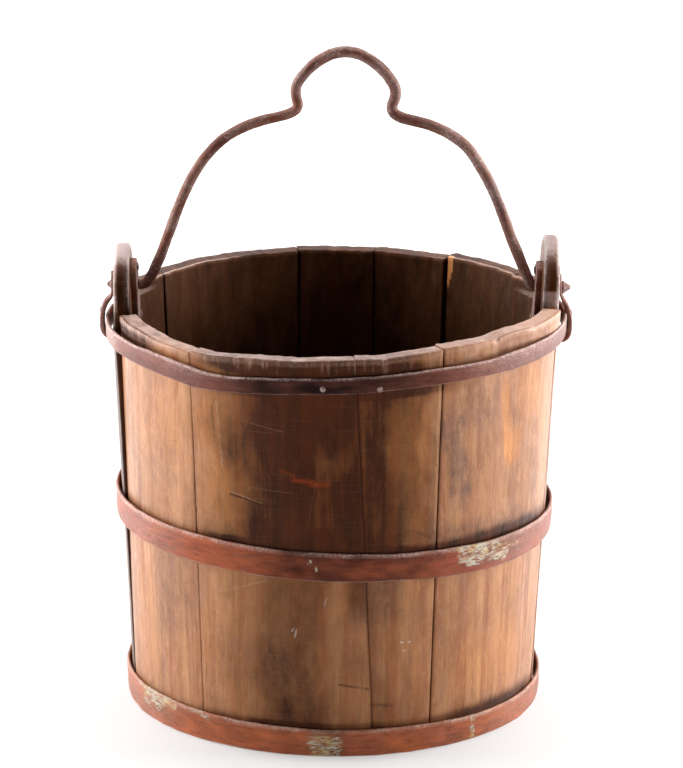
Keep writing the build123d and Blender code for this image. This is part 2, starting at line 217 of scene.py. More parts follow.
class Nodes:
    """A short way to write a material's node tree."""

    def __init__(self, name):
        self.material = bpy.data.materials.new(name)
        self.material.use_nodes = True
        self.tree = self.material.node_tree
        self.tree.nodes.clear()
        self.out = self.tree.nodes.new("ShaderNodeOutputMaterial")

    def make(self, kind, inputs=(), **settings):
        node = self.tree.nodes.new("ShaderNode" + kind)
        for key, value in settings.items():
            setattr(node, key, value)
        for key, value in dict(inputs).items():
            self.put(node.inputs[key], value)
        return node

    def put(self, socket, value):
        if isinstance(value, bpy.types.NodeSocket):
            self.tree.links.new(value, socket)
        elif isinstance(value, (tuple, list)) and len(value) == 3 and socket.type == "RGBA":
            socket.default_value = (*value, 1)
        else:
            socket.default_value = value

    def attribute(self, name, vector=False):
        return self.make("Attribute", attribute_name=name).outputs["Vector" if vector else "Fac"]

    def math(self, operation, a, b=0.0, clamp=False):
        return self.make("Math", {0: a, 1: b}, operation=operation, use_clamp=clamp).outputs[0]

    def plus(self, a, b):
        return self.math("ADD", a, b)

    def times(self, a, b):
        return self.math("MULTIPLY", a, b)

    def about_half(self, value, strength):
        """How far noise is from its middle, times a strength."""
        return self.times(self.math("SUBTRACT", value, 0.5), strength)

    def scaled(self, vector, scale, shift=(0, 0, 0)):
        return self.make("Mapping", {"Vector": vector, "Scale": scale, "Location": shift}).outputs[0]

    def noise(self, vector, scale=1.0, detail=4.0, roughness=0.55, distortion=0.0):
        inputs = {"Vector": vector, "Scale": scale, "Detail": detail, "Roughness": roughness}
        return self.make("TexNoise", {**inputs, "Distortion": distortion}).outputs["Fac"]

    def drawn_out(self, vector, scale, detail, roughness=0.55, distortion=0.0, shift=(0, 0, 0)):
        """Noise with a scale of its own along each axis."""
        return self.noise(self.scaled(vector, scale, shift), 1.0, detail, roughness, distortion)

    def span(self, value, low, high, to_low=0.0, to_high=1.0):
        inputs = {"Value": value, "From Min": low, "From Max": high, "To Min": to_low, "To Max": to_high}
        return self.make("MapRange", inputs, clamp=True).outputs[0]

    def mix(self, amount, a, b, how="MIX"):
        return self.make("MixRGB", {"Fac": amount, "Color1": a, "Color2": b}, blend_type=how).outputs[0]

    def tinted(self, color, tint, value, low, high, strength):
        """Mixes in a tint: not at all where the value is at low, at its full strength where it is at high."""
        return self.mix(self.span(value, low, high, 0.0, strength), color, tint)

    def toned(self, color, tone):
        grey = self.make("CombineXYZ", {0: tone, 1: tone, 2: tone}).outputs[0]
        return self.mix(1.0, color, grey, "MULTIPLY")

    def stroke(self, place, start, end, half, soft):
        """1 on a straight mark between two (along, up) places, falling to 0 over soft millimetres."""
        line = (end[0] - start[0], end[1] - start[1], 0)
        since = self.make("VectorMath", {0: place, 1: (*start, 0)}, operation="SUBTRACT").outputs[0]
        run = self.make("VectorMath", {0: since, 1: line}, operation="DOT_PRODUCT").outputs["Value"]
        share = self.math("DIVIDE", run, line[0]**2 + line[1]**2, clamp=True)
        nearest = self.make("VectorMath", {0: line, "Scale": share}, operation="SCALE").outputs[0]
        gap = self.make("VectorMath", {0: since, 1: nearest}, operation="DISTANCE").outputs["Value"]
        return self.span(gap, half, half + soft, 1.0, 0.0)

    def bump(self, height, distance, strength=1.0, normal=None):
        inputs = {"Height": height, "Distance": distance, "Strength": strength}
        if normal is not None:
            inputs["Normal"] = normal
        return self.make("Bump", inputs).outputs[0]

    def finish(self, **inputs):
        named = {key.replace("_", " "): value for key, value in inputs.items()}
        shader = self.make("BsdfPrincipled", named)
        self.tree.links.new(shader.outputs[0], self.out.inputs[0])
        return self.material


# Scratches: start and end (millimetres along from the front and up), half width, softness, colour, strength.
SCRATCHES = [
    ((-31, 214.0), (-15, 212.5), 0.4, 2.4, (0.26, 0.036, 0.008), 0.75),
    ((-17, 211.0), (-5, 211.5), 0.4, 2.6, (0.28, 0.042, 0.009), 0.80),
    ((-40, 220.5), (-30, 217.0), 0.2, 1.8, (0.22, 0.034, 0.010), 0.60),
    ((-80, 197.5), (-67, 196.0), 0.3, 1.2, (0.012, 0.005, 0.003), 0.75),
    ((-67, 196.0), (-51, 191.5), 0.2, 1.0, (0.012, 0.005, 0.003), 0.65),
    ((-78, 199.3), (-55, 194.2), 0.15, 0.5, (0.42, 0.25, 0.17), 0.60),
    ((5, 56.5), (27, 52.5), 0.4, 1.0, (0.030, 0.012, 0.008), 0.70),
    ((30, 40.0), (46, 38.0), 0.5, 1.8, (0.040, 0.016, 0.010), 0.55),
    ((-29.5, 93.0), (-28.2, 98.5), 0.3, 0.7, (0.52, 0.46, 0.42), 0.75),
    ((-31.5, 97.5), (-30.5, 99.5), 0.2, 0.7, (0.62, 0.58, 0.54), 0.80),
    ((52, 87.5), (54, 87.0), 0.1, 0.5, (0.75, 0.70, 0.66), 0.90),
    ((58, 86.5), (60, 87.0), 0.1, 0.5, (0.75, 0.70, 0.66), 0.90),
    ((54, 80.5), (56, 80.8), 0.1, 0.4, (0.75, 0.70, 0.66), 0.80),
    ((-7, 118.0), (-5.5, 124.0), 0.2, 0.9, (0.52, 0.40, 0.32), 0.50),
    ((-20, 178.0), (-12, 222.0), 0.1, 1.0, (0.26, 0.10, 0.045), 0.18),
    ((-93, 120.0), (-52, 134.5), 0.1, 0.7, (0.48, 0.32, 0.22), 0.40),
    ((-91, 266.0), (-87, 218.0), 0.2, 1.2, (0.62, 0.40, 0.26), 0.28),
    ((-95, 262.0), (-93, 236.0), 0.2, 1.4, (0.040, 0.016, 0.010), 0.45),
    ((-62, 254.0), (-38, 250.0), 0.1, 0.6, (0.40, 0.22, 0.13), 0.22),
    ((-75, 206.0), (-30, 203.5), 0.1, 0.5, (0.36, 0.19, 0.11), 0.20),
    ((60, 173.0), (75, 166.0), 0.2, 1.0, (0.035, 0.014, 0.009), 0.50),
]


def wood_material(name, carried=True):
    """Old oiled softwood.

    carried: its points carry grain (centimetres along, through and up the board), at (millimetres along the
    wall, up and through), tone and stain (both with painted shade in them), warm, grey, and the wear values
    (wear with painted highlight in it). Otherwise it is plain dark boards, grained along X."""
    n = Nodes(name)
    if carried:
        grain, at = n.attribute("grain", vector=True), n.attribute("at", vector=True)
        tone, stain_and_shade = n.attribute("tone"), n.attribute("stain_and_shade")
        warm, grey, wear_and_highlight = n.attribute("warm"), n.attribute("grey"), n.attribute("wear_and_highlight")
    else:
        here = n.make("TexCoord").outputs["Object"]
        turned = {"Vector": here, "Rotation": (0, math.pi / 2, 0), "Scale": (100, 100, 100)}
        grain = n.make("Mapping", turned).outputs[0]
        tone, stain_and_shade, warm, grey, wear_and_highlight = 0.75, 0.5, 0.0, 0.1, 0.0

    wander = n.drawn_out(grain, (0.4, 0.4, 0.10), 2.0)
    aside = n.make("CombineXYZ", {0: n.times(wander, 0.9)}).outputs[0]
    bent = n.make("VectorMath", {0: grain, 1: aside}, operation="ADD").outputs[0]
    rings = n.drawn_out(bent, (1.25, 1.2, 0.035), 6.0, 0.66)
    fibre = n.drawn_out(bent, (17, 17, 0.45), 5.0, 0.68)
    fine = n.drawn_out(bent, (60, 60, 2.4), 3.0, 0.6)
    blotch = n.drawn_out(grain, (0.50, 0.50, 0.24), 5.0, 0.62, 0.5)
    film = n.drawn_out(grain, (0.85, 0.85, 0.30), 4.0, 0.6, 0.6, shift=(7, 3, 5))
    mottle = n.drawn_out(grain, (1.7, 1.7, 1.0), 5.0, 0.7, 0.3)
    cross = n.drawn_out(grain, (0.7, 0.7, 9.0), 4.0, 0.7)
    speck = n.drawn_out(grain, (7, 7, 4.5), 3.0, 0.7)

    color = n.mix(n.span(rings, 0.34, 0.66), (0.330, 0.110, 0.040), (0.67, 0.330, 0.148))
    color = n.tinted(color, (0.23, 0.080, 0.032), fibre, 0.44, 0.70, 0.36)
    color = n.tinted(color, (0.11, 0.034, 0.013), fine, 0.54, 0.75, 0.28)
    color = n.tinted(color, (0.28, 0.105, 0.050), blotch, 0.50, 0.70, 0.42)
    color = n.tinted(color, (0.36, 0.205, 0.165), film, 0.50, 0.68, 0.22)
    color = n.tinted(color, (0.20, 0.066, 0.028), mottle, 0.56, 0.78, 0.30)
    color = n.tinted(color, (0.68, 0.38, 0.22), mottle, 0.46, 0.28, 0.28)
    color = n.mix(n.times(warm, n.span(fibre, 0.32, 0.62, 1.0, 0.35)), color, (0.82, 0.30, 0.055))
    color = n.mix(n.times(grey, n.span(mottle, 0.36, 0.60, 0.35, 1.0)), color, (0.120, 0.075, 0.066))

    uneven = n.plus(n.about_half(blotch, 0.42), n.about_half(mottle, 0.16))
    uneven = n.plus(uneven, n.about_half(rings, 0.42))
    streaked = n.plus(n.times(rings, 0.5), n.times(blotch, 0.5))
    broken = n.times(uneven, n.span(stain_and_shade, 0.85, 1.0, 1.0, 0.45))
    dark = n.span(n.plus(stain_and_shade, broken), 0.02, 0.90)
    dark = n.times(dark, n.span(fibre, 0.35, 0.65, 1.0, 0.95))
    darkest = n.mix(n.span(streaked, 0.42, 0.60), (0.060, 0.012, 0.003), (0.014, 0.003, 0.001))
    color = n.mix(dark, color, darkest)
    rubbed = n.times(n.span(cross, 0.60, 0.74, 0.0, 0.34), n.span(mottle, 0.42, 0.58))
    color = n.mix(n.times(rubbed, n.span(dark, 0.5, 1.0, 1.0, 0.25)), color, (0.42, 0.20, 0.10))
    color = n.tinted(color, (0.035, 0.012, 0.006), cross, 0.38, 0.28, 0.35)
    hairs = n.drawn_out(grain, (0.16, 0.16, 24), 3.0, 0.7)
    color = n.tinted(color, (0.52, 0.30, 0.19), hairs, 0.62, 0.74, 0.24)

    # Paler wear on rim tops, edges and scuffs, with the painted highlight and glare that the wear values
    # hold.
    specked = n.span(n.plus(speck, n.times(fibre, 0.6)), 0.62, 0.92, 0.25, 1.0)
    scuff_and_highlight = n.times(wear_and_highlight, n.math("MAXIMUM", specked, n.span(wear_and_highlight, 0.50, 0.80, 0.0, 0.85)))
    color = n.mix(scuff_and_highlight, color, n.mix(grey, (0.60, 0.37, 0.27), (0.68, 0.55, 0.54)))
    if carried:
        ragged = n.span(speck, 0.36, 0.50)
        for start, end, half, soft, tint, strength in SCRATCHES:
            mark = n.stroke(at, start, end, half, soft)
            color = n.mix(n.times(mark, n.times(ragged, strength)), color, tint)
    color = n.toned(color, tone)

    roughness = n.span(n.plus(fibre, n.times(mottle, 0.8)), 0.55, 1.25, 0.28, 0.50)
    relief = n.plus(n.times(fibre, -1.0), n.times(fine, -0.45))
    normal = n.bump(relief, 0.0005, 0.5)
    normal = n.bump(mottle, 0.0012, 0.35, normal)
    normal = n.bump(blotch, 0.0035, 0.25, normal)
    return n.finish(Base_Color=color, Roughness=roughness, Normal=normal, Specular_IOR_Level=0.5,
                    Specular_Tint=(0.36, 0.11, 0.045), Coat_Weight=n.span(dark, 0.05, 0.65, 0.34, 0.07),
                    Coat_Roughness=0.24)


def iron_material(name, base, rust, bare):
    """Old iron. Its points carry grain (centimetres), patch (pale flakes), wear with painted highlight in it,
    orange, and tone with painted shade in it.
    """
    n = Nodes(name)
    grain = n.attribute("grain", vector=True)
    patch, wear_and_highlight, orange, tone = [n.attribute(key) for key in ("patch", "wear_and_highlight", "orange", "tone")]
    cloud = n.drawn_out(grain, (0.45, 0.9, 1.1), 5.0, 0.65, 0.4)
    streak = n.drawn_out(grain, (0.6, 3.0, 4.5), 4.0, 0.65)
    grit = n.noise(grain, 8.0, 5.0, 0.68)
    pits = n.noise(grain, 26.0, 3.0, 0.6)
    color = n.mix(n.span(cloud, 0.36, 0.64), base, rust)
    color = n.tinted(color, [c * 0.45 for c in base], streak, 0.50, 0.70, 0.60)
    color = n.tinted(color, [c * 0.30 for c in base], grit, 0.54, 0.74, 0.45)
    color = n.mix(n.times(orange, n.span(streak, 0.35, 0.62, 1.0, 0.25)), color, (0.50, 0.13, 0.030))
    # Bare, paler iron where the wear values are high: rubbing, with painted highlight in it.
    rub = n.times(wear_and_highlight, n.span(grit, 0.40, 0.62, 0.12, 1.15))
    color = n.toned(color, tone)
    color = n.mix(rub, color, bare)

    loose = n.plus(n.about_half(cloud, 0.9), n.about_half(streak, 1.1))
    torn = n.noise(n.scaled(grain, (0.55, 0.55, 2.2)), 4.6, 6.0, 0.68)
    flake = n.times(n.span(n.plus(patch, loose), 0.44, 0.66), n.span(torn, 0.44, 0.53))
    flake = n.times(flake, n.span(patch, 0.05, 0.30))
    pale = n.mix(n.span(n.noise(grain, 1.1, 2.0), 0.47, 0.62), (0.56, 0.50, 0.40), (0.62, 0.45, 0.20))
    dulled = n.times(n.span(patch, 0.1, 0.5, 0.0, 0.45), n.span(streak, 0.35, 0.55))
    color = n.mix(dulled, color, (0.13, 0.09, 0.055))
    color = n.mix(flake, color, pale)

    roughness = n.span(n.plus(grit, n.times(cloud, 0.5)), 0.5, 1.0, 0.33, 0.60)
    relief = n.plus(n.times(grit, -1.0), n.times(flake, 0.3))
    normal = n.bump(relief, 0.0008, 0.55)
    normal = n.bump(pits, 0.0003, 0.4, normal)
    normal = n.bump(cloud, 0.002, 0.3, normal)
    return n.finish(Base_Color=color, Roughness=roughness, Metallic=0.05, Normal=normal,
                    Specular_IOR_Level=0.45, Specular_Tint=(0.45, 0.20, 0.16))


WOOD = wood_material("old_wood")
BOTTOM_WOOD = wood_material("bottom_wood", carried=False)
BAND_IRON = iron_material("band_iron", (0.175, 0.050, 0.032), (0.330, 0.078, 0.038), (0.62, 0.43, 0.37))
BASE_IRON = iron_material("bottom_band_iron", (0.27, 0.076, 0.038), (0.48, 0.125, 0.052), (0.60, 0.42, 0.34))
TOP_IRON = iron_material("top_band_iron", (0.120, 0.040, 0.030), (0.205, 0.066, 0.045), (0.66, 0.48, 0.44))
FORGED_IRON = iron_material("forged_iron", (0.105, 0.038, 0.030), (0.200, 0.080, 0.058), (0.50, 0.40, 0.37))

# ---------------------------------------------------------------- staves

COLUMN = 1.5  # the width of a mesh column across a stave
RIM_FROM = 0.955  # the share of a stave's height over which its rows are finer
EAR_GAP = 0.8  # between an ear stave and the next one


def layers(wall, edge_out, edge_in):
    """Depths through a board, closer together near its two rounded faces."""
    near = np.array([0, 0.04, 0.14, 0.30, 0.55, 1.0])
    return np.concatenate([near * edge_out, [0.42 * wall, 0.58 * wall], wall - near[::-1] * edge_in])


def round_over(depth, wall, edge_out, edge_in):
    """How far a rounded edge draws in at a depth through a board."""
    out = np.clip(1 - depth / edge_out, 0, 1)
    back = np.clip(1 - (wall - depth) / edge_in, 0, 1)
    return edge_out * (1 - np.sqrt(1 - out**2)) + edge_in * (1 - np.sqrt(1 - back**2))


def wood_values(arc, depth, z, seed, stain_and_shade, warm, grey, wear_and_highlight, tone):
    """The numbers that the wood's material reads."""
    shift = np.random.default_rng(seed).uniform(-30, 30, 3)
    grain = np.stack([arc / 10 + shift[0], depth / 10 + shift[1], z / 10 + shift[2]], 1)
    at = np.stack([arc, z, depth], 1)
    return {"grain": grain, "at": at, "stain_and_shade": stain_and_shade, "warm": warm, "grey": grey, "wear_and_highlight": wear_and_highlight, "tone": tone}


# Soft patches on the outside of the wall: whether they wander sideways with the grain, strength, angle, half
# width, softness, height, half height, softness.
STAINS = [(0, -0.14, -1, 3, 5, 200, 15, 30), (0, -0.12, 1, 4, 5, 240, 12, 18)]
WARM_STREAKS = [
    (0, 0.65, 53.5, 2, 2.5, 222, 6, 14), (0, 0.45, 60, 3, 6, 262, 8, 26), (0, 0.40, -54, 5, 8, 250, 20, 30),
    (1, 0.25, -29, 4, 5, 222, 36, 25), (0, 0.25, -55, 3, 7, 215, 30, 30), (0, 0.25, -62, 3, 6, 80, 40, 40),
    (0, 0.30, 48, 8, 12, 62, 8, 26)]
GREY_PATCHES = [
    (1, 0.70, 33, 1.2, 3.5, 222, 24, 26), (1, 0.35, 41, 4, 6, 262, 8, 16), (1, 0.32, -53, 3, 5, 235, 35, 25),
    (0, 0.40, -18, 12, 8, 277, 1.5, 3), (1, 0.40, -12, 3, 6, 56, 16, 24), (1, 0.30, -50, 4, 8, 110, 20, 30),
    (1, 0.50, 10, 3, 4, 125, 12, 20)]


def patches(table, angle, wandering, z):
    """What a table of soft patches adds up to at an angle and height."""
    total = 0
    for wanders, strength, at, half, soft, height, tall, fade in table:
        across = bump(wandering if wanders else angle, at, half, soft)
        total = total + strength * across * bump(z, height, tall, fade)
    return total


def wall_marks(angle, z):
    """Stains (with painted shade at the front and above the hoops), warm streaks and greying of the outside
    of the wall, by angle and height.
    """
    x = RIM_RADIUS * np.sin(np.radians(angle))
    joint = along(*FRONT_JOINTS[1][:2], z)
    upper = smooth(140, 185, z)
    lower = 1 - upper
    a = angle + 3.0 * noise(z / 35, 0 * z, 5) + 2.0 * rough(angle / 7, z / 25, 6)
    left_stave = 1 - smooth(-46, -30, angle)

    # Darker towards the front middle: real stain on the second and third staves, with painted shade of the
    # light falling off between the side lamps.
    second = 1 - smooth(joint - 1.0, joint + 0.5, angle)
    fading = 0.12 * smooth(-46, -38, a) + 0.22 * smooth(-41, -32, a)
    stain_and_shade = upper * second * (fading + 0.40 * smooth(-35, -23, a) + 0.30 * smooth(-27, -11, a))
    low = 0.32 * smooth(-40, -27, a) + 0.30 * smooth(-27, -16, a) - 0.34 * smooth(-9, 3, a)
    low += 0.40 * bump(angle, joint - 2.0, 1.0, 3.5) * bump(z, 130, 4, 30)
    stain_and_shade += lower * second * (low + 0.15 * bump(a, -17, 1, 5) * bump(z, 38, 3, 10))
    third = (1 - second) * (1 - smooth(26.6, 27.4, angle))
    stain_and_shade += third * upper * (0.88 - 0.22 * smooth(12, 19, a) - 0.28 * smooth(21, 26, a))
    stain_and_shade += third * lower * (0.44 - 0.24 * smooth(10, 18, a) - 0.16 * smooth(21, 25, a))
    stain_and_shade += upper * (0.18 * bump(a, 54, 7, 8) + 0.16 * bump(a, -61, 5, 8))
    stain_and_shade += smooth(27, 28, angle) * (0.12 * (1 - smooth(34, 46, a)) + 0.02)
    stain_and_shade += 0.06 * (1 - smooth(-50, -38, angle)) + 0.08 * (1 - smooth(-66, -52, a)) * lower
    stain_and_shade += patches(STAINS, angle, a, z)

    over_middle = MIDDLE_HOOP[1] + MIDDLE_HOOP[2][1] * x
    over_bottom = BOTTOM_HOOP[1] + BOTTOM_HOOP[2][1] * x
    right = smooth(20, 50, angle)
    # Dark lines and a broad darkening on the wall just above the middle and bottom hoops: grime, with the
    # hoops' contact shadow painted in.
    grime_and_shade = 0.35 + 0.50 * right * (1 - smooth(60, 75, angle)) - 0.20 * left_stave
    for hoop_top in (over_middle, over_bottom):
        stain_and_shade += grime_and_shade * bump(z, hoop_top + 1, 1.5, 3 + 7 * right)
    stain_and_shade += (0.25 - 0.20 * left_stave) * bump(z, over_middle, 1, 24) + 0.10 * bump(z, over_bottom, 1, 20)
    stain_and_shade += 0.40 * bump(z, 281, 2, 5) * (1 - left_stave) * (1 - smooth(26, 40, angle))
    stain_and_shade += smooth(288, 296, z) * (0.55 * smooth(-44, -26, angle) * (1 - smooth(4, 9, angle)) + 0.10)
    stain_and_shade += 0.90 * smooth(288, 293, z) * (1 - smooth(-62, -50, angle))
    stain_and_shade += 0.20 * bump(z, 297, 2, 3) * smooth(8, 20, angle)

    warm = 0.85 * bump(angle + (z - 243) / 22, 50.2, 0.7, 1.8) * bump(z, 245, 22, 22)
    warm += 0.15 * bump(angle, 16, 6, 6) * smooth(165, 230, z) + patches(WARM_STREAKS, angle, a, z)
    warm += (0.14 + 0.26 * upper) * smooth(-42, -32, a) * (1 - smooth(22, 27, angle))
    grey = patches(GREY_PATCHES, angle, a, z)
    grey += 0.40 * bump(angle, 40, 12, 12) * bump(z, over_middle + 8, 3, 12)
    return np.clip(stain_and_shade, 0, 1), np.clip(warm, 0, 1), np.clip(grey, 0, 1)


def swell(angle, z, follow):
    """How far a stave beside an ear stands out from the round wall, towards the oval of the hoops."""
    lengthwise, across = hoop_reach(z)
    t = np.radians(angle)
    oval = lengthwise * across / np.hypot(across * np.sin(t), lengthwise * np.cos(t)) - outer_radius(z)
    turn = np.abs((angle + 180) % 360 - 180)
    behind = turn > 90
    beside = smooth(46 + 16 * behind, 72 + 4 * behind, 90 - np.abs(90 - turn))
    return follow * beside * (oval + 2.2 * smooth(296, 300, z) - 0.3)


def stave(name, start, end, rise, extra, seed, follow):
    """A plank of the wall, with a worn and chipped rim and waves in its faces.

    rise: how much taller it is than the wall. extra: how much thicker. follow: its share of the hoops' oval.
    start, end: the joints at its sides."""
    rng = np.random.default_rng(seed)
    width = math.radians(end[1] - start[1]) * RIM_RADIUS
    columns = max(10, int(width / COLUMN))
    rim_rows = RIM_FROM + (1 - RIM_FROM) * np.linspace(0, 1, 17)[1:]
    heights = np.concatenate([np.linspace(0, 1, 130) * RIM_FROM, rim_rows])
    wall_rim = RIM_WALL + extra
    depth_in = layers(wall_rim, 3.0, 2.2)
    quads, cells = lattice(columns, len(depth_in) - 1, len(heights) - 1)
    u = cells[:, 0] / columns
    share = heights[cells[:, 2]]
    depth = depth_in[cells[:, 1]]

    arc_u = u * width
    rough_angle = start[1] + (end[1] - start[1]) * u
    turn = (rough_angle + 180) % 360 - 180
    top = BODY_HEIGHT + rise + 0.6 * noise(arc_u / 22, seed, 3) + 0.25 * noise(arc_u / 5, seed, 4)
    top = top + np.interp(turn, RIM_WEAR[:, 0], RIM_WEAR[:, 1])
    chip = smooth(0.55, 0.9, noise(arc_u / 7, seed * 3.1, 8))
    edge_out = 1.5 + 0.6 * noise(arc_u / 12, 2.5 * seed, 7) + 1.7 * chip
    edge_in = 1.2 + 0.5 * noise(arc_u / 9, 1.5 * seed, 9)
    drawn = round_over(depth, wall_rim, edge_out, edge_in)
    side = round_over(depth, wall_rim, 0.32, 0.4)
    z = share * (top - drawn * smooth(0.9, 1.0, share))
    wall = along(BASE_WALL, RIM_WALL, z) + extra
    depth = depth * wall / wall_rim

    radius_here = outer_radius(z)
    inmost = smooth(1.8, 4.0, depth) * smooth(1.8, 4.0, wall - depth)
    half_gap = [along(g[2], g[3], z) / 2 * (1 - inmost) + 0.06 * inmost for g in (start, end)]
    first = along(start[0], start[1], z) + np.degrees((half_gap[0] + side) / radius_here)
    last = along(end[0], end[1], z) - np.degrees((half_gap[1] + side) / radius_here)
    angle = first + (last - first) * u
    arc = np.radians(angle) * RIM_RADIUS

    face = 1 - smooth(0, 5, depth)
    back = smooth(-5, 0, depth - wall)
    edge = bump(u, 0.5, 0.5 - 2.5 / columns, 2.5 / columns)
    sway = 0.30 * rough(arc / 24, z / 90, seed + 20) + 0.10 * noise(arc / 2.4, z / 55, seed + 30) * edge
    crown = 0.5 * (1 - (2 * u - 1) ** 2) * (width / 130)
    out = face * (sway + crown - 0.3) + swell(angle, z, follow)
    out -= back * 0.5 * rough(arc / 16, z / 60, seed + 40)
    corner = 1 - bump(u, 0.5, 0.5 - 1.2 / columns, 1 / columns)
    out -= face * 0.5 * corner * smooth(0.72, 0.95, noise(z / 5, seed * 1.7 + u.round() * 9, 12))
    radius = radius_here - depth + out
    t = np.radians(angle)
    points = np.stack([radius * np.sin(t), -radius * np.cos(t), z], 1)

    stain_and_shade, warm, grey = wall_marks(angle, z)
    inside = smooth(2.5, 6.0, depth) * (1 - smooth(top - 3.5, top - 0.8, z))
    end_grain = smooth(0.3, 0.8, (z - top + drawn + 0.8) / 0.8) * smooth(0.97, 1.0, share)
    corners = smooth(0.12, 0.5, drawn) * smooth(top - 5, top - 2.5, z)
    front_rim = 1 - smooth(85, 120, np.abs(turn))
    # Rim tops and corners are paler and less grey at the sides, more on the right: painted light where the
    # side lamps fall, over the rim's wear.
    side_light = smooth(38, 60, np.abs(turn)) * (0.5 + 0.5 * smooth(-20, 20, turn))
    inner_edge = bump(depth, wall - 1.0, 0.4, 0.6)
    flat_top = end_grain * smooth(1.0, 2.6, depth)
    wear_and_highlight = (0.62 + 0.20 * noise(arc / 6, depth / 4, seed + 50)) * flat_top
    wear_and_highlight += 0.28 * corners * (1 - smooth(4, 8, depth))
    wear_and_highlight = wear_and_highlight * (0.06 + 0.94 * front_rim) + 0.25 * front_rim * side_light * (end_grain + corners)
    # A thin pale line along the inner top edge of the back staves: a painted highlight.
    glint_behind_ears = (1 - front_rim) * bump(np.abs(turn), 128, 12, 16)
    wear_and_highlight += 0.8 * glint_behind_ears * inner_edge * smooth(top - 2.2, top - 1, z)
    flecks = smooth(0.35, 0.8, noise(arc / 1.6, z / 12, seed + 60)) * (0.35 - 0.15 * smooth(4, 9, turn))
    bare = 0.45 * smooth(28, 36, turn) * noise(arc / 7, z / 6, seed + 70) ** 2
    wear_and_highlight += face * smooth(292, 297, z) * (flecks + 0.30 * chip + bare)
    at_rim = smooth(top - 2.0, top - 0.5, z)
    near_joint = 1 - bump(u, 0.5, 0.5 - 0.9 / width, 1.4 / width)
    # The inner face is darkened in stain and tone, more so lower down: painted shade in the hollow of the
    # bucket. The darker joints are real.
    stain_and_shade = np.clip(stain_and_shade * (1 - inside) + 0.68 * inside + 0.30 * near_joint * (1 - at_rim), 0, 1)
    stain_and_shade = np.clip(stain_and_shade + at_rim * (0.12 + 0.62 * (1 - front_rim)), 0, 1)
    tone = (1 + 0.06 * rng.uniform(-1, 1)) * (1 - inside * (0.50 + 0.33 * (1 - smooth(180, 285, z))))
    warm, grey = warm * (1 - inside), np.clip(grey * (1 - inside) + flat_top * (0.5 - 0.35 * side_light), 0, 1)
    behind = smooth(78, 100, np.abs(turn)) * (1 - inside) * (1 - at_rim)
    stain_and_shade = np.clip(stain_and_shade + behind * (0.34 + 0.16 * rough(angle / 8, z / 70, 81)), 0, 1)
    tone = tone * (1 - 0.22 * behind)
    sliver = 0.10 + 0.75 * smooth(281, 303, z)
    split_edge = BACK_JOINTS[1][1] - 0.75
    fresh = bump(angle, split_edge - sliver, sliver, 0.3) * smooth(278, 288, z) * smooth(-3, -1, depth - wall)
    stain_and_shade, warm, tone = stain_and_shade * (1 - fresh), np.maximum(warm, 0.5 * fresh), tone + 0.9 * fresh
    values = wood_values(arc, depth, z, seed, stain_and_shade, warm, grey, np.clip(wear_and_highlight, 0, 1), tone)
    add(name, points, quads, WOOD, values)


def half_disc(u, v):
    """Spreads a square over a half disc: how far out each point is, from 0 to 1, and its direction."""
    across, up = u * np.sqrt(1 - v * v / 2), v * np.sqrt(1 - u * u / 2)
    return np.hypot(across, up), np.arctan2(up, across)


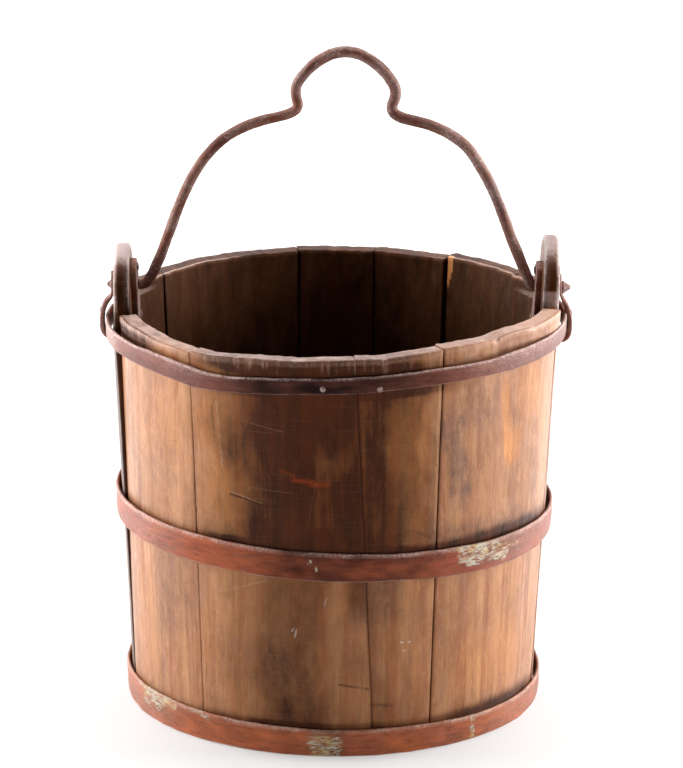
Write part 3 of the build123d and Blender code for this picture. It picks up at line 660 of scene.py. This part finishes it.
def ear_stave(name, way, seed, centre, belly):
    """An ear stave: a plank with a bellied face below the rim, a rounded tab above it and a hollowed back.

    way: 1 on the right, -1 on the left. centre: the height of the middle of the tab's arc."""
    columns, rise_rows, tab_rows = 56, 100, 34
    depth_in = layers(EAR_WALL, 4.0, 2.0)
    quads, cells = lattice(columns, len(depth_in) - 1, rise_rows + tab_rows)
    u = cells[:, 0] / columns * 2 - 1
    k = cells[:, 2]
    depth = depth_in[cells[:, 1]]

    v = np.clip((k - rise_rows) / tab_rows, 0, 1)
    reach, swing = half_disc(u, v)
    rise = centre - BODY_HEIGHT
    arc_edge = rise * np.sin(swing) + np.sqrt((rise * np.sin(swing)) ** 2 + EAR_RADIUS**2 - rise**2)
    reach_out = math.hypot(EAR_RIM_HALF, rise)
    slope = math.pi - math.atan2(rise, EAR_RIM_HALF) - math.asin(EAR_RADIUS / reach_out)
    touch = math.sqrt(reach_out**2 - EAR_RADIUS**2) * math.sin(slope)
    flare = EAR_RIM_HALF / (np.abs(np.cos(swing)) - np.sin(swing) / math.tan(slope))
    edge = np.where(np.sin(swing) * arc_edge < touch, flare, arc_edge)
    edge += 0.7 * noise(swing * 3, seed, 3) * smooth(0.1, 0.5, swing) * smooth(0.1, 0.5, math.pi - swing)

    tabbed = k > rise_rows
    low_z = np.clip(k / rise_rows, 0, 1) * BODY_HEIGHT
    high = smooth(0.35, 0.95, np.sin(swing))
    rounding = 3.0 + 3.4 * high + 0.8 * noise(swing * 4, seed, 5)
    drawn_tab = round_over(depth, EAR_WALL, rounding, 1.4 + 0.4 * high)
    drawn_low = round_over(depth, EAR_WALL, 1.3, 0.6)
    tab_share = smooth(0.0, 0.35, v)
    drawn = drawn_low + (drawn_tab - drawn_low) * tab_share
    half = along(EAR_BASE_HALF, EAR_RIM_HALF, low_z)
    y = np.where(tabbed, np.cos(swing) * reach * (edge - drawn), u * (half - drawn))
    z = np.where(tabbed, BODY_HEIGHT + np.sin(swing) * reach * (edge - drawn), low_z)

    hollow = np.sqrt(np.maximum(ear_back(z) ** 2 - y**2, 1))
    back_x = hollow + (ear_back(z) - hollow) * smooth(235, 311, z)
    share = depth / EAR_WALL
    bellied = belly * (1 - u**2) * (1 - smooth(284, 302, z))
    near_out = ear_face(z) - depth + bellied * (1 - smooth(0, 8, depth))
    near_in = back_x + (EAR_WALL - depth)
    x = near_out * (1 - smooth(0.3, 0.7, share)) + near_in * smooth(0.3, 0.7, share)
    face = 1 - smooth(0, 4, depth)
    back = smooth(-4, 0, depth - EAR_WALL)
    x += face * (0.3 * rough(y / 22, z / 80, seed + 2) + 0.10 * noise(y / 2.2, z / 50, seed + 6) - 0.25)
    x -= back * 0.3 * rough(y / 14, z / 40, seed + 8)
    points = np.stack([way * x, way * y, z], 1)
    if way < 0:
        quads = quads[:, ::-1]

    inside = smooth(2.5, 6.0, depth) * (1 - smooth(296, 312, z))
    inner_tab = smooth(8, 11, depth) * smooth(300, 312, z)
    outer_edge = bump(depth, 1.0, 1.0, 1.4) * smooth(0.90, 0.99, reach) * smooth(300, 308, z)
    # The tab's upturned top, its upper edges and the top of its face are paler and greyer: wear, with painted
    # glare in it.
    upturned_wear_and_glare = smooth(0.72, 0.95, np.sin(swing)) * smooth(0.9, 1.0, reach) * smooth(0.3, 0.7, v)
    inner_edge = bump(depth, EAR_WALL - 0.8, 0.6, 1.0) * smooth(0.90, 0.99, reach) * smooth(306, 312, z)
    wear_and_highlight = 0.66 * outer_edge * (0.75 + 0.4 * rough(y / 6, z / 6, seed + 12)) + 0.50 * inner_edge
    wear_and_highlight += (0.80 - 0.14 * way) * upturned_wear_and_glare + 0.18 * smooth(325, 350, z) * face
    along_edge = np.maximum(smooth(0.9, 1.0, reach) * tabbed, np.abs(u) > 0.98) * smooth(1, 3, depth)
    stain_and_shade = 0.42 + 0.14 * rough(y / 15, z / 60, seed + 9) + 0.25 * inside + 0.15 * inner_tab
    stain_and_shade = stain_and_shade + 0.45 * (way < 0) * smooth(24, 36, y) * (1 - smooth(300, 312, z)) * (1 - inside)
    stain_and_shade = np.clip(stain_and_shade + 0.55 * along_edge * (1 - upturned_wear_and_glare), 0, 1)
    patch = (way > 0) * along_edge * (y < 0)
    stain_and_shade = stain_and_shade * (1 - 0.9 * patch * bump(z, 317, 5.5, 2.0))
    warm = 0.15 + 0.8 * patch * (bump(z, 309.5, 1.0, 1.5) + 0.7 * bump(z, 333, 5, 6))
    wear_and_highlight = np.clip(wear_and_highlight + 0.5 * patch * bump(z, 318, 4.5, 2), 0, 1)
    grey = np.clip(0.9 * smooth(0.1, 0.5, wear_and_highlight) * smooth(304, 314, z), 0, 1)
    # The inner face, the inner side of the tab and the ledge beside the hollowed back are darkened: painted
    # shade.
    shaded_ledge = smooth(7, 10, depth) * smooth(22, 32, np.abs(y)) * bump(z, 300, 14, 5)
    tone = 0.88 - 0.50 * inside - 0.10 * inner_tab - 0.45 * shaded_ledge * (1 - inside)
    values = wood_values(y + 500, depth, z, seed, stain_and_shade, warm, grey, wear_and_highlight, tone)
    bore(add(name, points, quads, WOOD, values), way)


def all_staves():
    ear = 90 - math.degrees(math.asin(EAR_RIM_HALF / RIM_RADIUS))
    at_ears = [(angle, angle, EAR_GAP, EAR_GAP) for angle in (-ear, ear, 180 - ear, 180 + ear)]
    front = [at_ears[0], *FRONT_JOINTS, at_ears[1]]
    back = [at_ears[2], *BACK_JOINTS, at_ears[3]]
    pairs = [*zip(front, front[1:]), *zip(back, back[1:])]
    rises = [-1.5, -0.5, 0.6, 1.2, 0.8, 1.0, -0.9, -0.5, -0.8, -1.2]
    extras = [0.0, -0.6, 0.5, 0.8, 0.0, -0.8, 1.0, 0.0, 0.4, -0.3]
    follows = [0.25, 0, 0, 1.0, 0.9, 0, 0, 0, 0, 0.8]
    for number, ((start, end), rise, extra, follow) in enumerate(zip(pairs, rises, extras, follows), 1):
        stave(f"stave_{number:02d}", start, end, rise, extra, 100 + 13 * number, follow)
    ear_stave("ear_stave_right", 1, 301, 316.3, 2.4)
    ear_stave("ear_stave_left", -1, 402, 307.0, 3.6)


all_staves()

# ---------------------------------------------------------------- irons

BAND = 2.2  # thickness of a hoop's iron
LAP, RAMP = 17.0, 7.0  # degrees that a hoop's end laps over its start, and over which it lifts to do so
RIVET_INSET = 4  # degrees from each end of a lap
STRAP_EYE = 325.5  # height of the upper end of an ear's strap


def iron_values(along_cm, across_cm, up_cm, seed, patch=0.0, wear_and_highlight=0.0, orange=0.0, tone=1.0):
    """The numbers that the iron's material reads."""
    shift = np.random.default_rng(seed).uniform(-30, 30, 3)
    zero = np.zeros_like(along_cm)
    grain = np.stack([along_cm + shift[0], across_cm + shift[1], up_cm + shift[2]], -1).reshape(-1, 3)
    flat = [(zero + value).reshape(-1) for value in (patch, wear_and_highlight, orange, tone)]
    return {"grain": grain, "patch": flat[0], "wear_and_highlight": flat[1], "orange": flat[2], "tone": flat[3]}


def hoop_line(angle, z, offset):
    """The oval hoop line at an angle and height, stood off by an offset: x and y."""
    lengthwise, across = [half + offset for half in hoop_reach(z)]
    t = np.radians(angle)
    reach = lengthwise * across / np.hypot(across * np.sin(t), lengthwise * np.cos(t))
    return reach * np.sin(t), -reach * np.cos(t)


def hoop(name, low, high, tilts, lap_at, seed, material, marks, slips=False):
    """A band whose end laps over its start at lap_at. marks gives its flakes, rust, rubbing (with painted
    highlight at the sides) and tone (with painted shade at the front of the top and middle hoops).
    """
    angle = np.arange(lap_at, lap_at + 360 + LAP + 0.01, 0.75)
    rows = np.linspace(0.06, 0.94, 9)
    section = [(0.0, 0.03), (0.35, 0.0), (BAND - 0.7, 0.0), (BAND - 0.15, 0.02),
               *[(BAND, row) for row in rows],
               (BAND - 0.15, 0.98), (BAND - 0.7, 1.0), (0.35, 1.0), (0.0, 0.97), (0.0, 0.66), (0.0, 0.33)]
    off, share = np.array(section).T
    a, share = np.meshgrid(angle, share, indexing="ij")
    arc = np.radians(a) * RIM_RADIUS
    x_here = RIM_RADIUS * np.sin(np.radians(a))
    z_low = low + tilts[0] * x_here + 0.5 * noise(arc / 45, 0, seed) + 0.25 * noise(arc / 9, 1, seed)
    z_high = high + tilts[1] * x_here + 0.5 * noise(arc / 40, 2, seed) + 0.25 * noise(arc / 8, 3, seed)
    turn = (a + 180) % 360 - 180
    if slips:
        z_high = z_high + np.interp(turn, HOOP_SLIP[:, 0], HOOP_SLIP[:, 1])
        z_low = z_low + np.interp(turn, HOOP_SLIP[:, 0], HOOP_SLIP[:, 2])
    z = np.maximum(z_low + (z_high - z_low) * share, 0.05)
    outer = smooth(1.2, 2.0, off)[None, :]
    crown = 0.25 * (1 - (2 * share - 1) ** 2)
    hammered = 0.28 * noise(arc / 16, z / 9, seed + 1) + 0.16 * noise(arc / 6, z / 5, seed + 2)
    ends = smooth(lap_at + 360 - RAMP, lap_at + 360 - 0.5, a)
    lift = 0.15 + (BAND + 0.4) * ends
    taper = 1 - 0.45 * smooth(lap_at + 358 + LAP, lap_at + 360 + LAP, a)
    x, y = hoop_line(a, z, lift + off[None, :] * taper + outer * (crown + hammered))
    points, quads, caps = tube(np.stack([x, y, z], -1))
    # A pale line along the top edge and a fainter one along the bottom: edge wear, with a painted highlight
    # in it.
    edge = np.maximum(smooth(0.90, 0.97, share), 0.5 * smooth(0.06, 0.0, share))
    wear_and_highlight = np.clip(edge * (0.90 + 0.6 * noise(arc / 9, 5, seed)), 0, 1) * smooth(0.3, 0.8, off)[None, :]
    patch, orange, rubbed, tone = marks(turn, z, share)
    behind = smooth(80, 100, np.abs(turn))
    tone, rubbed, wear_and_highlight = tone * (1 - 0.45 * behind), rubbed * (1 - 0.8 * behind), wear_and_highlight * (1 - 0.5 * behind)
    wear_and_highlight = np.clip(wear_and_highlight + rubbed, 0, 1)
    values = iron_values(arc / 10, off[None, :] / 10 + 0 * z, z / 10, seed, patch, wear_and_highlight, orange, tone)
    add(name, points, quads, material, values, ends=caps)
    places = []
    for at in (lap_at + RIVET_INSET, lap_at + LAP - RIVET_INSET):
        middle = (low + high) / 2 + tilts[0] * RIM_RADIUS * math.sin(math.radians(at))
        places.append(outward(at, middle, 2 * BAND + 0.75))
    domes(f"{name}_rivets", places, 4.2, 1.9, seed)


def outward(angle, z, offset):
    """A point over the hoops' line and the direction that faces out of the wall there."""
    x, y = hoop_line(np.float64(angle), np.float64(z), offset)
    lengthwise, across = hoop_reach(np.float64(z))
    normal = Vector((x / lengthwise**2, y / across**2, 0)).normalized()
    normal.z = -0.036
    return Vector((float(x), float(y), float(z))), normal.normalized()


def domes(name, places, radius, height, seed, squares=0.0, wear_and_highlight=0.45):
    """Hammered nail or rivet heads in one piece. squares: how far each is from round towards square."""
    rng = np.random.default_rng(seed)
    profile = [(1.0, -0.6), (1.0, 0.05), (0.97, 0.25), (0.82, 0.62), (0.55, 0.88), (0.25, 0.98), (0.03, 1.0)]
    phi = np.linspace(0, 2 * math.pi, 20, endpoint=False)
    points, quads, caps, rub = [], [], [], []
    for origin, normal in places:
        turn = normal.to_track_quat("Z", "Y").to_matrix()
        lumps = 1 + 0.07 * noise(phi * 1.6, rng.uniform(0, 50), seed) + squares * np.cos(4 * phi)
        rings = []
        for out, up in profile:
            ring = np.stack([radius * out * lumps * np.cos(phi), radius * out * lumps * np.sin(phi),
                             np.full_like(phi, height * up) + 0.12 * noise(phi * 2, up * 3, seed)], 1)
            rings.append(ring @ np.array(turn.transposed()) + np.array(origin))
        piece, faces, ends = tube(np.array(rings))
        start = sum(len(p) for p in points)
        points.append(piece)
        quads.append(faces + start)
        caps += [end + start for end in ends]
        rub.append(np.repeat([wear_and_highlight * up for _, up in profile], len(phi)))
    points = np.concatenate(points)
    rub = np.clip(np.concatenate(rub), 0, 1)
    values = iron_values(points[:, 0] / 10, points[:, 1] / 10, points[:, 2] / 10, seed, 0, rub, 0)
    add(name, points, np.concatenate(quads), FORGED_IRON, values, ends=caps)


def top_marks(angle, z, share):
    """Flakes, rust, rubbing (with painted highlight at the sides and upper edge) and tone (with painted shade
    at the front) of the top hoop. share: how far up the band, from 0 to 1.
    """
    # Pale rubbing at the sides, along the upper edge at the front left and at the far left: wear with painted
    # highlight in it.
    rub = 0.42 * smooth(26, 52, np.abs(angle)) * (0.5 + 0.5 * smooth(0.3, 0.8, share))
    rub = rub + 0.5 * bump(angle, -36, 9, 5) * smooth(0.80, 0.95, share)
    rub = rub * (1 - 0.7 * bump(angle, -58, 8, 10)) + 0.30 * (1 - smooth(-74, -66, angle))
    # Darker at the front: painted shade.
    front = smooth(-34, -18, angle) * (1 - smooth(10, 32, angle))
    tone = 1 - 0.92 * front * (0.85 + 0.3 * rough(angle / 6, share * 3, 63))
    return 0 * z, 0.12 * bump(angle, 30, 10, 20) + 0 * z, rub, tone


def middle_marks(angle, z, share):
    uneven = 0.25 * rough(angle / 4, share * 3, 61)
    patch = (0.62 + uneven) * bump(angle + 3 * share, 43.5, 5.5, 5) * smooth(0.1, 0.3, share)
    patch += (0.42 + uneven) * bump(angle, 53.5, 2, 4)
    patch += 0.95 * bump(angle - 2 * share, -7.6, 0.1, 0.6) * bump(share, 0.66, 0.04, 0.12)
    patch += 0.95 * bump(angle - 2 * share, -5.3, 0.1, 0.5) * bump(share, 0.45, 0.03, 0.10)
    patch += 0.60 * bump(angle, -23, 3.5, 1) * bump(share, 0.66, 0.03, 0.04)
    orange = 0.45 * bump(angle, -35, 18, 14) * (0.7 + uneven)
    orange += 0.30 * bump(angle, 15, 8, 8) * bump(share, 0.3, 0.2, 0.2)
    # Darker at the front and paler rubbing at the sides: painted shade, and wear with painted highlight in
    # it.
    front = smooth(-26, -10, angle) * (1 - smooth(16, 34, angle))
    tone = 1.1 - 0.70 * front * (0.8 + 0.4 * rough(angle / 6, share * 3, 64))
    return patch, orange, 0.30 * smooth(36, 60, np.abs(angle)) + 0 * z, tone


def bottom_marks(angle, z, share):
    uneven = 0.25 * rough(angle / 4, share * 3, 62)
    patch = (0.66 + uneven) * bump(angle, -57, 3.5, 8) * smooth(0.2, 0.5, share)
    patch += (0.58 + uneven) * bump(angle, -2, 2.5, 5) + 0.6 * bump(angle, 41, 0.7, 0.8)
    patch += (0.35 + uneven) * bump(angle, -40, 8, 6) * smooth(0.5, 0.9, share)
    orange = 0.75 * bump(angle + 4 * share, 22, 2.5, 5) * bump(share, 0.25, 0.25, 0.3)
    orange += 0.45 * bump(angle, -30, 22, 15) * (0.8 + uneven) + 0.3 * bump(angle, 50, 10, 12)
    # Paler rubbing at the sides: wear with painted highlight in it.
    rub = 0.05 + 0.25 * smooth(40, 62, np.abs(angle)) + 0 * z
    return patch, orange, rub, 1 + 0.15 * rough(angle / 6, share * 3, 65)


def smooth_path(points, step):
    """A curve through the points (Catmull-Rom), at about even steps."""
    p = np.array([points[0], *points, points[-1]], float)
    made = []
    for a, b, c, d in zip(p, p[1:], p[2:], p[3:]):
        count = max(2, int(np.linalg.norm(c - b) / step))
        t = np.linspace(0, 1, count, endpoint=False)[:, None]
        curve = 2 * b + (c - a) * t + (2 * a - 5 * b + 4 * c - d) * t**2 + (3 * b - a - 3 * c + d) * t**3
        made.append(0.5 * curve)
    made.append(p[-1:])
    return np.concatenate(made)


def run_and_normal(path):
    """How far along a path each point is, and the direction square to the path there."""
    run = np.concatenate([[0], np.cumsum(np.hypot(*np.diff(path, axis=0).T))])
    tangent = np.gradient(path, run, axis=0)
    tangent /= np.linalg.norm(tangent, axis=1)[:, None]
    return run, np.stack([-tangent[:, 1], tangent[:, 0]], 1)


# The middle of the bail's bar from its left end to its right end, across and up.
BAIL_LINE = [
    (-171.6, PIVOT), (-160, PIVOT), (-148, 316.5), (-142.6, 317.6), (-139.4, 321.5), (-136.8, 326.5),
    (-134, 333), (-130.6, 341), (-127.3, 350.3), (-124, 359.5), (-120.7, 368.8), (-117.2, 378),
    (-113.4, 387.2), (-109, 396.4), (-103.8, 405.6), (-97.4, 414.8), (-89.4, 423.8), (-82.2, 430),
    (-74.7, 434.8), (-67.3, 438.4), (-59.9, 441.2), (-52.5, 443.5), (-45.1, 445.2), (-37.8, 447.3),
    (-31.6, 450.4), (-29.4, 454.6), (-30.4, 459.6), (-31, 465), (-29.7, 470.5), (-26.2, 476),
    (-21.4, 481.6), (-15.7, 486.6), (-9.9, 490.4), (-4, 493.2), (4.8, 494.8), (13.7, 493.6),
    (19.6, 491.2), (25.6, 487.6), (31.3, 483), (36, 478.2), (39.8, 472.9), (42.1, 468.4), (42.9, 463.6),
    (41.9, 459), (40.3, 454), (41.6, 449.3), (46.9, 445.8), (54.1, 443.7), (61.5, 441.9), (69, 439.7),
    (76.4, 436.7), (83.9, 432.8), (91.4, 427.6), (98.9, 420.2), (106.9, 408), (112.5, 398.2),
    (116.9, 389), (120.8, 379.9), (124.3, 370.7), (127.8, 361.5), (131.3, 352.3), (135.2, 343),
    (138.8, 334), (142.4, 325.6), (145.6, 319.2), (149, 316.5), (160, PIVOT), (175.4, PIVOT)]
HAND_AT = 6.0  # where the middle of the hump for the hand is


def bail():
    """The handle: a forged bar with uneven hammered sides and pointed, peened ends."""
    path = smooth_path(BAIL_LINE, 1.1)
    gaps = np.hypot(*np.diff(path, axis=0).T)
    path = path[np.concatenate([[True], gaps > 1e-6])]
    run, normal = run_and_normal(path)
    phi = np.linspace(0, 2 * math.pi, 22, endpoint=False)
    s, f = np.meshgrid(run, phi, indexing="ij")
    reach = np.where(path[:, 0] < 0, np.abs(path[:, 0]) + 3.6, np.abs(path[:, 0]))
    head = np.clip((reach - 169.4) / 5.9, 0, 1) * (path[:, 1] < 330)
    outside = (np.abs(path[:, 0]) > 168.9) & (path[:, 1] < 330)
    size = np.where(outside, 5.1 - 3.9 * head**0.9, 3.75)
    handled = bump(path[:, 0], HAND_AT, 28, 14) * (path[:, 1] > 440)
    size += (0.10 + 0.20 * (path[:, 0] > -20)) * (~outside) * smooth(320, 335, path[:, 1]) + 0.10 * handled
    seen = ~outside & (path[:, 1] > 318)
    knocks = 0.17 * noise(s / 11, f * 0.9, 71) + 0.10 * noise(s / 4, f * 2, 72)
    knocks += 0.05 * noise(s / 1.6, f * 5, 73)
    flats = 0.10 * np.cos(4 * f + 0.6 * np.sin(s / 60))
    radius = size[:, None] + (knocks + flats) * np.where(seen, 1.0, 0.25)[:, None]
    radius *= np.where(outside, 1.0, 0.0)[:, None] * 0.10 * np.cos(4 * f) + 1
    side = 0.5 * noise(s[:, :1] / 60, 0, 75) * (seen * (1 - smooth(445, 470, path[:, 1])))[:, None]
    x = path[:, :1] + radius * np.cos(f) * normal[:, :1]
    z = path[:, 1:] + radius * np.cos(f) * normal[:, 1:]
    y = radius * np.sin(f) + side
    points, quads, caps = tube(np.stack([x, y, z], -1))
    # The sparkle specks and the paler right side below are painted glints and glare, added to the rubbing.
    sparkle = smooth(0.35, 0.8, noise(s / 1.8, f * 3, 79))
    rubbed = 0.12 + 0.35 * noise(s / 14, f * 0.8, 76) + 0.22 * smooth(0.0, 0.15, knocks) + 0.4 * sparkle
    rubbed = rubbed + 0.25 * smooth(40, 110, path[:, :1]) + 0.10 * handled[:, None]
    rubbed = np.clip(np.where(outside[:, None], 0.55, rubbed), 0, 1)
    rust = 0.12 + 0.2 * noise(s / 30, 0, 78)
    values = iron_values(s / 10, radius * np.cos(f) / 10, radius * np.sin(f) / 10, 77, 0, rubbed, rust)
    add("bail", points, quads, FORGED_IRON, values, ends=caps, body="bail")


def ear_plate(name, way, seed):
    """The forged plate inside an ear, with an arched top and softened edges."""
    thick, half, low, shoulder = 4.5, 13.0, 284.0, 323.5
    across, straight, arched = 22, 26, 12
    depth_in = layers(thick, 1.2, 0.4)
    quads, cells = lattice(across, len(depth_in) - 1, straight + arched)
    u, k, depth = cells[:, 0] / across * 2 - 1, cells[:, 2], depth_in[cells[:, 1]]
    v = np.clip((k - straight) / arched, 0, 1)
    reach, swing = half_disc(u, v)
    drawn = round_over(depth, thick, 1.2, 0.4)
    drawn = drawn + 0.4 * noise(u * 2, k / 6, seed) * (np.abs(u) > 0.98)
    y = np.where(k > straight, np.cos(swing) * reach * (half - drawn), u * (half - drawn))
    z = np.where(k > straight, shoulder + np.sin(swing) * reach * (half - drawn),
                 low + drawn + (shoulder - low - drawn) * k / straight)
    dents = 0.22 * noise(y / 6, z / 7, seed + 1) + 0.10 * noise(y / 2.5, z / 3, seed + 2)
    x = ear_back(z) - 0.25 - thick + depth - (1 - smooth(0, 2.5, depth)) * dents
    points = np.stack([way * x, -way * y, z], 1)
    wear_and_highlight = np.clip(drawn + 0.2 + 0.3 * noise(y / 4, z / 5, seed + 3), 0, 1)
    values = iron_values(y / 10, depth / 10, z / 10, seed, 0, 0.7 * wear_and_highlight, 0.2)
    bore(add(name, points, quads, FORGED_IRON, values), way)


STRAP_LINES = {  # how far out from the ear and how far up, on the right (1) and on the left (-1)
    1: [(0, 326.5), (0, 320), (0.2, 313.5), (2.6, 307), (5.6, 301), (7.3, 295), (7.8, 288), (7.2, 281.5),
        (5.2, 277), (2.4, 274.2)],
    -1: [(0, 326.5), (0, 320), (0, 312), (1.0, 307.5), (4.6, 303), (7.0, 297), (7.8, 289), (7.4, 282.5),
         (6.0, 278), (4.0, 275.2)]}


def ear_strap(name, way, seed):
    """The strap outside an ear: round the bail's end, then bowed out over the top hoop and in below it."""
    thick = 3.0
    lie = ear_face(STRAP_EYE) + 0.1 + thick / 2
    path = smooth_path([(lie + out, up) for out, up in STRAP_LINES[way]], 0.8)
    run, normal = run_and_normal(path)
    end = run[-1]
    eye = 8.6 * np.sqrt(np.clip(1 - ((run - 9.3) / 9.4) ** 2, 0, 1))
    leaf = np.interp(run, [0, 14, 22, 38, end - 5, end], [0.5, 5.6, 5.6, 7.2, 5.4, 1.2])
    half = np.where(run < 14, np.maximum(eye, 0.6), np.maximum(eye, leaf))
    half += 0.35 * noise(run / 5, 0, seed)
    phi = np.linspace(0, 2 * math.pi, 28, endpoint=False)
    flatter = np.sign(np.sin(phi)) * np.abs(np.sin(phi)) ** 0.45
    wider = np.sign(np.cos(phi)) * np.abs(np.cos(phi)) ** 0.6
    s, f = np.meshgrid(run, phi, indexing="ij")
    thin = thick / 2 * (0.66 + 0.64 * smooth(14, 26, run)) * (1 - 0.55 * smooth(end - 9, end, run))
    out = thin[:, None] * flatter[None, :] * (1 + 0.08 * noise(s / 5, f, seed + 1))
    x = path[:, :1] + out * normal[:, :1]
    z = path[:, 1:] + out * normal[:, 1:]
    y = half[:, None] * wider[None, :]
    points, quads, caps = tube(np.stack([way * x, -way * y, z], -1))
    wear_and_highlight = np.clip(0.35 * np.abs(wider)[None, :] ** 6 + 0.2 + 0.4 * noise(s / 6, f, seed + 2), 0, 1)
    values = iron_values(y / 10, out / 10, z / 10, seed, 0, 0.6 * wear_and_highlight, 0.15)
    bore(add(name, points, quads, FORGED_IRON, values, ends=caps), way)


def all_irons():
    hoop("top_hoop", *TOP_HOOP, 150.0, 501, TOP_IRON, top_marks, slips=True)
    hoop("middle_hoop", *MIDDLE_HOOP, 198.0, 511, BAND_IRON, middle_marks)
    hoop("bottom_hoop", *BOTTOM_HOOP, 164.0, 521, BASE_IRON, bottom_marks)
    nails = [outward(angle, z, BAND + 0.5) for angle, z in ((-3.0, 284.2), (11.0, 283.6))]
    domes("top_hoop_nails", nails, 2.3, 1.1, 531, wear_and_highlight=1.0)
    for side, way, seed in (("right", 1, 600), ("left", -1, 700)):
        ear_plate(f"ear_plate_{side}", way, seed)
        ear_strap(f"ear_strap_{side}", way, seed + 20)
        inward = Vector((-way, 0, 0.05)).normalized()
        corners = (0, 330), (-8, 291), (8, 291)
        heads = [(Vector((way * (ear_back(z) - 4.8), y, z)), inward) for y, z in corners]
        domes(f"ear_plate_nails_{side}", heads, 3.3, 1.3, seed + 30, squares=0.06)
        on_strap = Vector((way * (ear_face(STRAP_EYE) + 1.6 + 6.9 + 1.6), 0, 297.0))
        head = on_strap, Vector((way, 0, 0.2)).normalized()
        domes(f"ear_strap_nail_{side}", [head], 2.6, 1.0, seed + 40, squares=0.05)
    bail()
    for name in ("bottom_board_front", "bottom_board_middle", "bottom_board_rear", "bottom_dowels"):
        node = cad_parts[name]
        node.data.materials.clear()
        node.data.materials.append(BOTTOM_WOOD)


all_irons()

# ---------------------------------------------------------------- camera, floor and light

def camera():
    """The photo's own view: from the front and above, far off and with a narrow field of view."""
    data = bpy.data.cameras.new("camera")
    data.lens = 195.84
    data.sensor_width = 36.0
    data.clip_end = 50
    cam = bpy.data.objects.new("camera", data)
    bpy.context.scene.collection.objects.link(cam)
    pitch, roll = 0.28335, 0.0076
    cam.location = (0.0045, -3.0252, 1.1206)
    look = Matrix.Rotation(math.pi / 2 - pitch, 4, "X") @ Matrix.Rotation(roll, 4, "Z")
    cam.rotation_euler = look.to_euler()
    bpy.context.scene.camera = cam


def area_light(name, place, size, power, target=(0, 0, 0.18), color=(1, 1, 1)):
    data = bpy.data.lights.new(name, "AREA")
    data.shape, data.size, data.size_y = "RECTANGLE", size[0], size[1]
    data.energy, data.color = power, color
    lamp = bpy.data.objects.new(name, data)
    lamp.location = place
    lamp.rotation_euler = (Vector(target) - Vector(place)).to_track_quat("-Z", "Y").to_euler()
    bpy.context.scene.collection.objects.link(lamp)


def stage():
    """A pale floor that glows, more beside the object and further away from it, a soft sky behind and three
    softboxes.
    """
    n = Nodes("pale_floor")
    where = n.make("TexCoord").outputs["Object"]
    cloud = n.noise(where, 3.0, 3.0)
    tint = n.mix(n.span(cloud, 0.4, 0.6), (0.50, 0.50, 0.505), (0.53, 0.53, 0.53))
    split = n.make("SeparateXYZ", {0: where})
    side = n.math("ABSOLUTE", split.outputs["X"])
    # The floor glows beside the object, to light its sides and show in them as a sheen.
    beside = n.times(n.span(side, 0.20, 0.55, 0.0, 0.60), n.span(split.outputs["Y"], -0.35, 0.15))
    away = n.make("VectorMath", {0: where}, operation="LENGTH").outputs["Value"]
    glow = n.math("MAXIMUM", n.plus(beside, 0.42), n.span(away, 0.5, 2.2, 0.42, 1.05))
    material = n.finish(Base_Color=tint, Roughness=0.7, Emission_Color=(1, 1, 1), Emission_Strength=glow,
                        Specular_IOR_Level=0.2)
    mesh = bpy.data.meshes.new("floor")
    reach = 30.0
    corners = [(-reach, -reach, 0), (reach, -reach, 0), (reach, reach, 0), (-reach, reach, 0)]
    mesh.from_pydata(corners, [], [(0, 1, 2, 3)])
    mesh.materials.append(material)
    floor = bpy.data.objects.new("floor", mesh)
    bpy.context.scene.collection.objects.link(floor)

    world = bpy.data.worlds.new("studio")
    bpy.context.scene.world = world
    world.use_nodes = True
    tree = world.node_tree
    back = tree.nodes["Background"]
    where = tree.nodes.new("ShaderNodeTexCoord")
    split = tree.nodes.new("ShaderNodeSeparateXYZ")
    fall = tree.nodes.new("ShaderNodeMapRange")
    fall.interpolation_type = "SMOOTHSTEP"
    for key, value in {"From Min": -0.5, "From Max": 0.5, "To Min": 0.05, "To Max": 0.6}.items():
        fall.inputs[key].default_value = value
    tree.links.new(where.outputs["Generated"], split.inputs[0])
    tree.links.new(split.outputs["Y"], fall.inputs["Value"])
    tree.links.new(fall.outputs[0], back.inputs["Strength"])
    back.inputs["Color"].default_value = (1, 1, 1, 1)
    area_light("left_softbox", (-1.6, 0.45, 0.6), (1.4, 1.5), 54)
    area_light("right_softbox", (1.6, 0.45, 0.6), (1.4, 1.5), 54)
    area_light("top_softbox", (0.0, 0.6, 2.3), (1.8, 1.4), 44)
    bpy.context.scene.view_settings.view_transform = "Standard"


camera()
stage()
